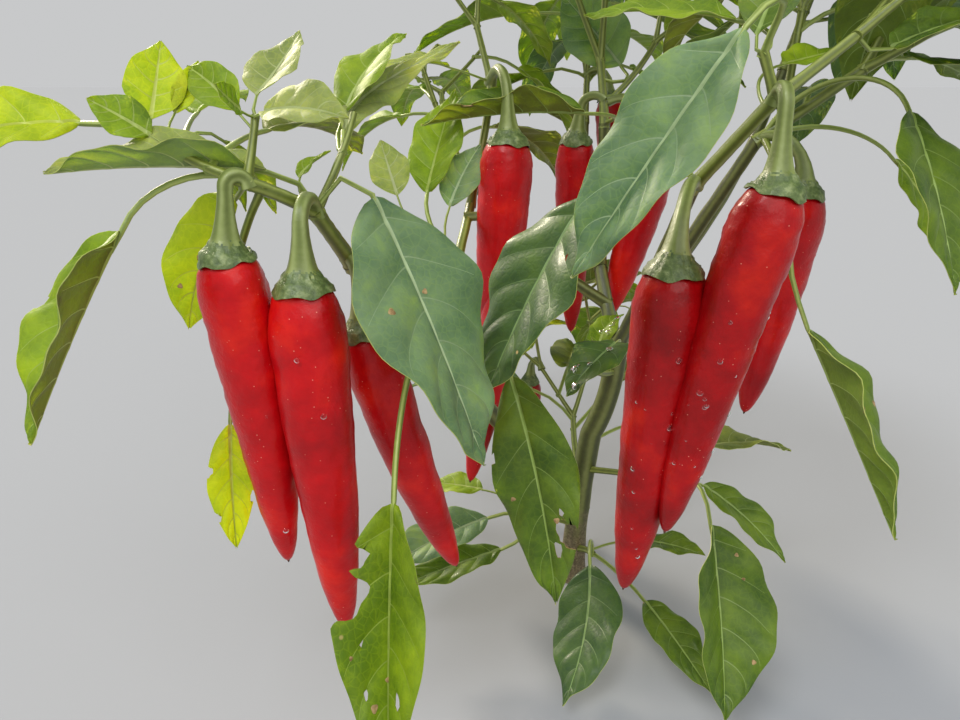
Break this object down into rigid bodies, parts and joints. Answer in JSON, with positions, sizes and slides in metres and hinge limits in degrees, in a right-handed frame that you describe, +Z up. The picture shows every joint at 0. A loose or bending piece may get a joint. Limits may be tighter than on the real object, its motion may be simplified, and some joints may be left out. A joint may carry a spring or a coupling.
{
  "type": "chilli pepper plant",
  "caption": "Bushy chilli pepper plant rooted in the ground, with a forked green stem, pointed leaves and long red fruit that hang from hooked stalks.",
  "frame": {"origin": "middle of the flat cut under the main stem, at ground level", "axes": "+Z up, +X to the right of the side that carries the pictured fruit, -Y towards whoever looks at that side"},
  "size_m": [0.4574, 0.4386, 0.4135],
  "materials": {
    "stem": "green bark",
    "foliage": "leaves, twigs and fruit"
  },
  "bodies": {
    "root": {"main_stem": "stem", "left_bough": "stem", "right_front_bough": "stem", "right_back_bough": "stem", "centre_bough": "stem", "back_bough": "stem", "back_left_bough": "stem", "back_right_bough": "stem", "left_front_foliage": "foliage", "left_crown_foliage": "foliage", "centre_crown_foliage": "foliage", "right_front_foliage": "foliage", "right_crown_foliage": "foliage", "inner_front_foliage": "foliage", "low_right_foliage": "foliage", "low_front_foliage": "foliage", "low_left_foliage": "foliage", "low_back_foliage": "foliage", "back_left_foliage": "foliage", "back_foliage": "foliage", "back_right_foliage": "foliage"}
  },
  "joints": []
}
